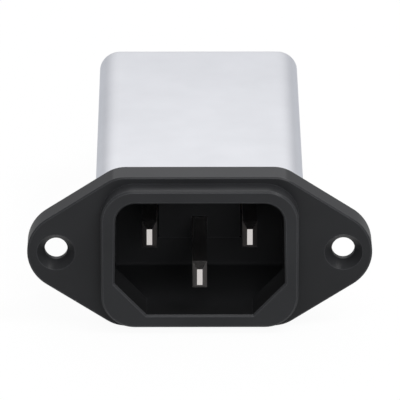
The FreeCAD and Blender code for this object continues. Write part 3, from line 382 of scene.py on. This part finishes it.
def add_floor():
    """A plain white floor that keeps a faint shadow."""
    half = FLOOR_SIZE / 2
    mesh = bpy.data.meshes.new("floor")
    corners = [(x, y, 0) for x, y in ((-half, -half), (half, -half), (half, half), (-half, half))]
    mesh.from_pydata(corners, [], [(0, 1, 2, 3)])
    floor = bpy.data.objects.new("floor", mesh)
    floor.location.z = FLOOR_HEIGHT
    bpy.context.scene.collection.objects.link(floor)
    material = bpy.data.materials.new("floor_white")
    material.use_nodes = True
    tree = material.node_tree
    tree.nodes.remove(principled(material))
    glow = tree.nodes.new("ShaderNodeEmission")
    glow.inputs["Strength"].default_value = PAPER - SHADOW_SHARE
    both = tree.nodes.new("ShaderNodeAddShader")
    tree.links.new(glow.outputs["Emission"], both.inputs[0])
    tree.links.new(grey_paint(tree, SHADOW_SHARE), both.inputs[1])
    surface = through_light_path(tree, both.outputs["Shader"], grey_paint(tree, FLOOR_PAINT))
    tree.links.new(surface, tree.nodes["Material Output"].inputs["Surface"])
    mesh.materials.append(material)


add_floor()

# ---------------------------------------------------------------- light

SKY_LIGHT = 0.7  # how strongly the surroundings light the object
SKY_TINT = (0.985, 0.987, 1.01)
HORIZON, HORIZON_END = 0.8, 0.5  # how bright they are low down, and how high that reaches
SIDES, SIDES_START, SIDES_END = 0.8, 0.3, 0.8  # to the sides, and where that starts and ends
GAP, GAP_OUTSIDE, GAP_INSIDE = 0.02, 0.972, 0.988  # in the gap, and the cosines of its edges
GAP_DIRECTION = (0, -0.15, 0.989)  # the gap between the lamps, just in front of overhead


def add_world():
    """White surroundings, a little darker low down and to the sides, with a dark gap overhead."""
    world = bpy.data.worlds.new("studio")
    world.use_nodes = True
    tree = world.node_tree
    direction = tree.nodes.new("ShaderNodeTexCoord").outputs["Generated"]
    parts = axes(tree, "Generated")
    low = ramp(tree, parts["Z"], 0.0, HORIZON_END, HORIZON, 1.0)
    sideways = calculate(tree, "ABSOLUTE", parts["X"])
    side = ramp(tree, sideways, SIDES_START, SIDES_END, 1.0, SIDES)
    towards_gap = dot_product(tree, direction, GAP_DIRECTION)
    gap = ramp(tree, towards_gap, GAP_OUTSIDE, GAP_INSIDE, 1.0, GAP)
    white = calculate(tree, "MULTIPLY", calculate(tree, "MULTIPLY", low, side), gap)
    tint = scaled(tree, SKY_TINT, white)
    seen = tree.nodes["Background"]
    light = tree.nodes.new("ShaderNodeBackground")
    for shader, strength in ((seen, PAPER), (light, SKY_LIGHT)):
        shader.inputs["Strength"].default_value = strength
        tree.links.new(tint, shader.inputs["Color"])
    surface = through_light_path(tree, seen.outputs["Background"], light.outputs["Background"])
    tree.links.new(surface, tree.nodes["World Output"].inputs["Surface"])
    bpy.context.scene.world = world


def from_front(azimuth, elevation, distance):
    """A point seen from the flange's front: degrees to the right, degrees up, metres away."""
    turn, rise = math.radians(azimuth), math.radians(elevation)
    return (distance * math.sin(turn) * math.cos(rise),
            -distance * math.cos(turn) * math.cos(rise),
            distance * math.sin(rise))


ORIGIN = (0, 0, 0)
BACK_PLACE, BACK_AIM = (0, 150 * MM, 97 * MM), (0, 0, 10 * MM)

# Each lamp's name, place, aim, width, height and watts.
SOFTBOXES = (
    ("top_light", from_front(0, 68, 1.0), ORIGIN, 0.3, 0.25, 1.1),
    ("right_light", from_front(65, 58, 1.0), ORIGIN, 0.35, 0.35, 3.3),
    ("front_light", from_front(12, 26, 1.2), ORIGIN, 0.6, 0.4, 2.8),
    ("back_light", BACK_PLACE, BACK_AIM, 0.2, 0.055, 0.0104),
)


def add_softbox(name, place, target, width, height, power):
    """A rectangular soft lamp that faces a point."""
    lamp = bpy.data.lights.new(name, "AREA")
    lamp.shape = "RECTANGLE"
    lamp.size, lamp.size_y = width, height
    lamp.energy = power
    holder = bpy.data.objects.new(name, lamp)
    holder.location = place
    aim = Vector(target) - Vector(place)
    holder.rotation_euler = aim.to_track_quat("-Z", "Y").to_euler()
    holder.visible_camera = False
    bpy.context.scene.collection.objects.link(holder)


add_world()
for softbox in SOFTBOXES:
    add_softbox(*softbox)

# ---------------------------------------------------------------- camera

FLANGE_FRONT = Vector((0, -3.9 * MM, 0))
ELEVATION = math.radians(22.53)
TURN = math.radians(-0.20)
DISTANCE = 748.6 * MM
FOCAL_LENGTH = 484.6  # millimetres, like the sensor
SENSOR = 36.0
AIM_RIGHT, AIM_UP = 0.04 * MM, 7.26 * MM  # the picture's centre, from the flange's front


def add_camera():
    """The camera, a little above the socket and straight in front of it."""
    back = Vector((math.sin(TURN) * math.cos(ELEVATION), -math.cos(TURN) * math.cos(ELEVATION),
                   math.sin(ELEVATION)))
    right = Vector((0, 0, 1)).cross(back).normalized()
    up = back.cross(right)
    lens = bpy.data.cameras.new("camera")
    lens.sensor_width = SENSOR
    lens.lens = FOCAL_LENGTH
    camera = bpy.data.objects.new("camera", lens)
    place = FLANGE_FRONT + AIM_RIGHT * right + AIM_UP * up + DISTANCE * back
    turn = Matrix((right, up, back)).transposed().to_4x4()
    camera.matrix_world = Matrix.Translation(place) @ turn
    bpy.context.scene.collection.objects.link(camera)
    bpy.context.scene.camera = camera


add_camera()

bpy.context.scene.view_settings.view_transform = "Standard"
